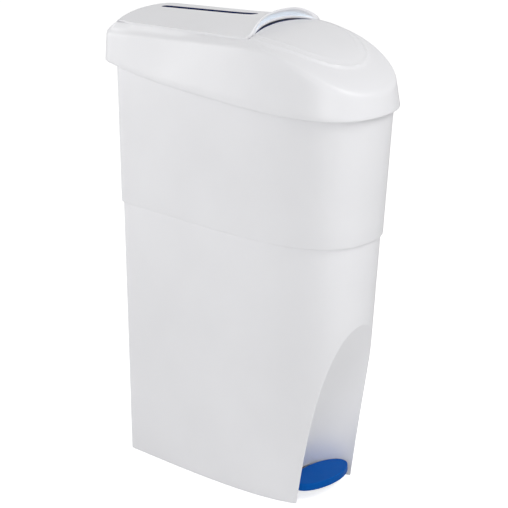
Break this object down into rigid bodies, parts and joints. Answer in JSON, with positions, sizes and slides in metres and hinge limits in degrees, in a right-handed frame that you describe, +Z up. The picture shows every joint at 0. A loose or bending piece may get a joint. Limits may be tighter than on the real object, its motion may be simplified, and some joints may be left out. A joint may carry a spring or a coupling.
{
  "type": "pedal hygiene bin",
  "caption": "Tall narrow pedal bin with a tapered two-part body, arched foot niche, lift-off domed lid and a hinged flap with a finger lip and bag slot, opened by a push rod.",
  "frame": {"origin": "centre of the bin's plan box, on the floor", "axes": "+Z up, the pedal and the round front face -Y, the flat back faces +Y"},
  "size_m": [0.171, 0.3608, 0.5623],
  "materials": {
    "white_plastic": "white moulded polypropylene, satin with a fine grain",
    "blue_plastic": "blue moulded polypropylene, satin",
    "black_plastic": "black moulded plastic, matt",
    "rubber": "black rubber",
    "steel": "zinc-plated steel"
  },
  "bodies": {
    "root": {"lower_body": "white_plastic", "upper_sleeve": "white_plastic", "base_plate": "black_plastic", "rubber_feet": "rubber", "case_screws": "steel", "false_floor": "black_plastic", "pivot_pin": "steel", "pivot_caps": "steel", "rod_guide_lower": "black_plastic", "rod_guide_upper": "black_plastic", "liner_bucket": "blue_plastic"},
    "pedal": {"pedal_tread": "blue_plastic", "tread_screws": "steel", "pedal_lever": "steel"},
    "rod": {"push_rod": "steel", "rod_foot": "black_plastic", "rod_cap": "black_plastic"},
    "lid": {"lid": "white_plastic", "inner_lid": "blue_plastic", "lid_screws": "steel", "hinge_pin": "steel"},
    "flap": {"flap": "white_plastic", "bag_tray": "blue_plastic"}
  },
  "joints": [
    {"name": "pedal_press", "type": "hinge", "parent": "root", "child": "pedal", "pos_m": [0, -0.05566, 0.014], "axis": [1, 0, 0], "range_deg": [0, 7.3]},
    {"name": "rod_lift", "type": "slide", "parent": "root", "child": "rod", "axis": [0, 0, 1], "range_m": [0, 0.0241]},
    {"name": "lid_lift", "type": "slide", "parent": "root", "child": "lid", "axis": [0, 0, 1], "range_m": [0, 0.15]},
    {"name": "flap_open", "type": "hinge", "parent": "lid", "child": "flap", "pos_m": [0, 0.15486, 0.52762], "axis": [-1, 0, 0], "range_deg": [0, 60]}
  ],
  "couplings": [
    {"joint": "rod_lift", "follows": "pedal_press", "m_per_rad": 0.18813},
    {"joint": "flap_open", "follows": "pedal_press", "ratio": 8.2086}
  ]
}
